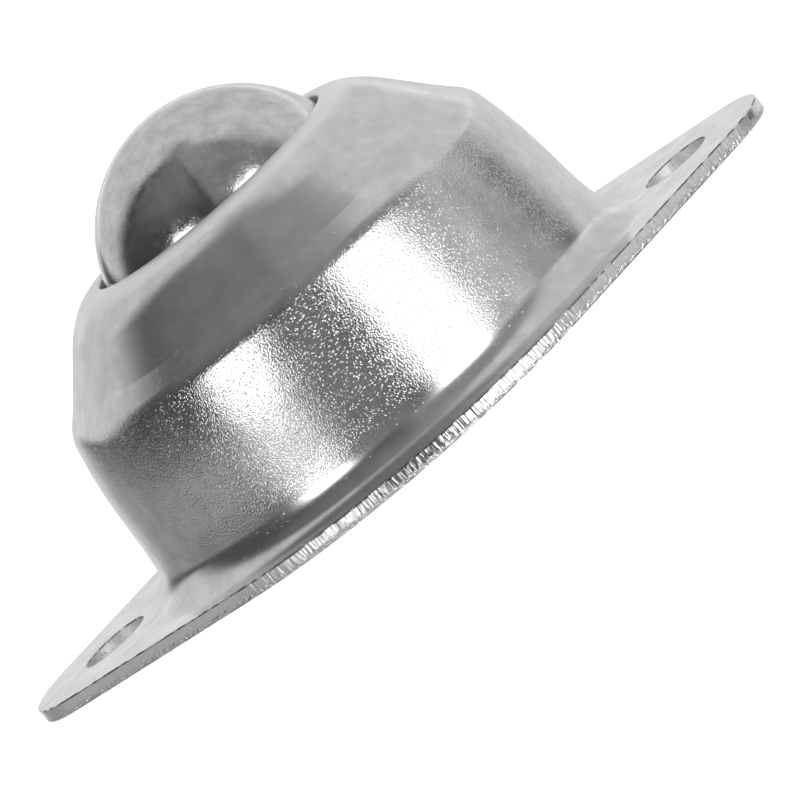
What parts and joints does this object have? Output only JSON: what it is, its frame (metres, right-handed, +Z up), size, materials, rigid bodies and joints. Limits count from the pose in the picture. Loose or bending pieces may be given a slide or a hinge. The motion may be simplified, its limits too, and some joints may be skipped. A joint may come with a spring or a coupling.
{
  "type": "ball transfer unit",
  "caption": "Ball transfer unit with a drawn steel housing, a lozenge flange for two bolts and a load ball that rolls on small balls in a cup.",
  "frame": {"origin": "centre of the mounting face, the underside of the flange", "axes": "+X runs through the two bolt holes, +Z runs up the drum's axis to the load ball"},
  "size_m": [0.0716, 0.05, 0.0298],
  "materials": {
    "housing_zinc": "bright zinc-plated drawn sheet steel, orange-peel wall, smooth cone and flange, sheared edges",
    "cover_zinc": "zinc-plated pressed sheet steel, satin",
    "cup_hardened_steel": "hardened and tumbled steel, dark satin",
    "ball_steel": "hardened bearing steel, satin polished",
    "support_ball_steel": "hardened bearing steel, polished"
  },
  "bodies": {
    "housing": {"housing": "housing_zinc", "race_cup": "cup_hardened_steel", "base_cover": "cover_zinc"},
    "pole_ball": {"support_balls_row_0": "support_ball_steel"},
    "load_ball": {"load_ball": "ball_steel"},
    "support_balls": {"support_balls_row_1": "support_ball_steel", "support_balls_row_2": "support_ball_steel", "support_balls_row_3": "support_ball_steel", "support_balls_row_4": "support_ball_steel", "support_balls_row_5": "support_ball_steel", "support_balls_row_6": "support_ball_steel"}
  },
  "joints": [
    {"name": "ball_heading", "type": "hinge", "parent": "housing", "child": "pole_ball", "pos_m": [0, 0, 0.01869], "axis": [0, 0, 1], "continuous": true},
    {"name": "ball_roll", "type": "hinge", "parent": "pole_ball", "child": "load_ball", "pos_m": [0, 0, 0.01869], "axis": [1, 0, 0], "continuous": true},
    {"name": "support_ball_orbit", "type": "hinge", "parent": "housing", "child": "support_balls", "pos_m": [0, 0, 0.01869], "axis": [0, 0, 1], "continuous": true}
  ],
  "couplings": [
    {"joint": "support_ball_orbit", "follows": "ball_heading", "ratio": 0.4405}
  ]
}
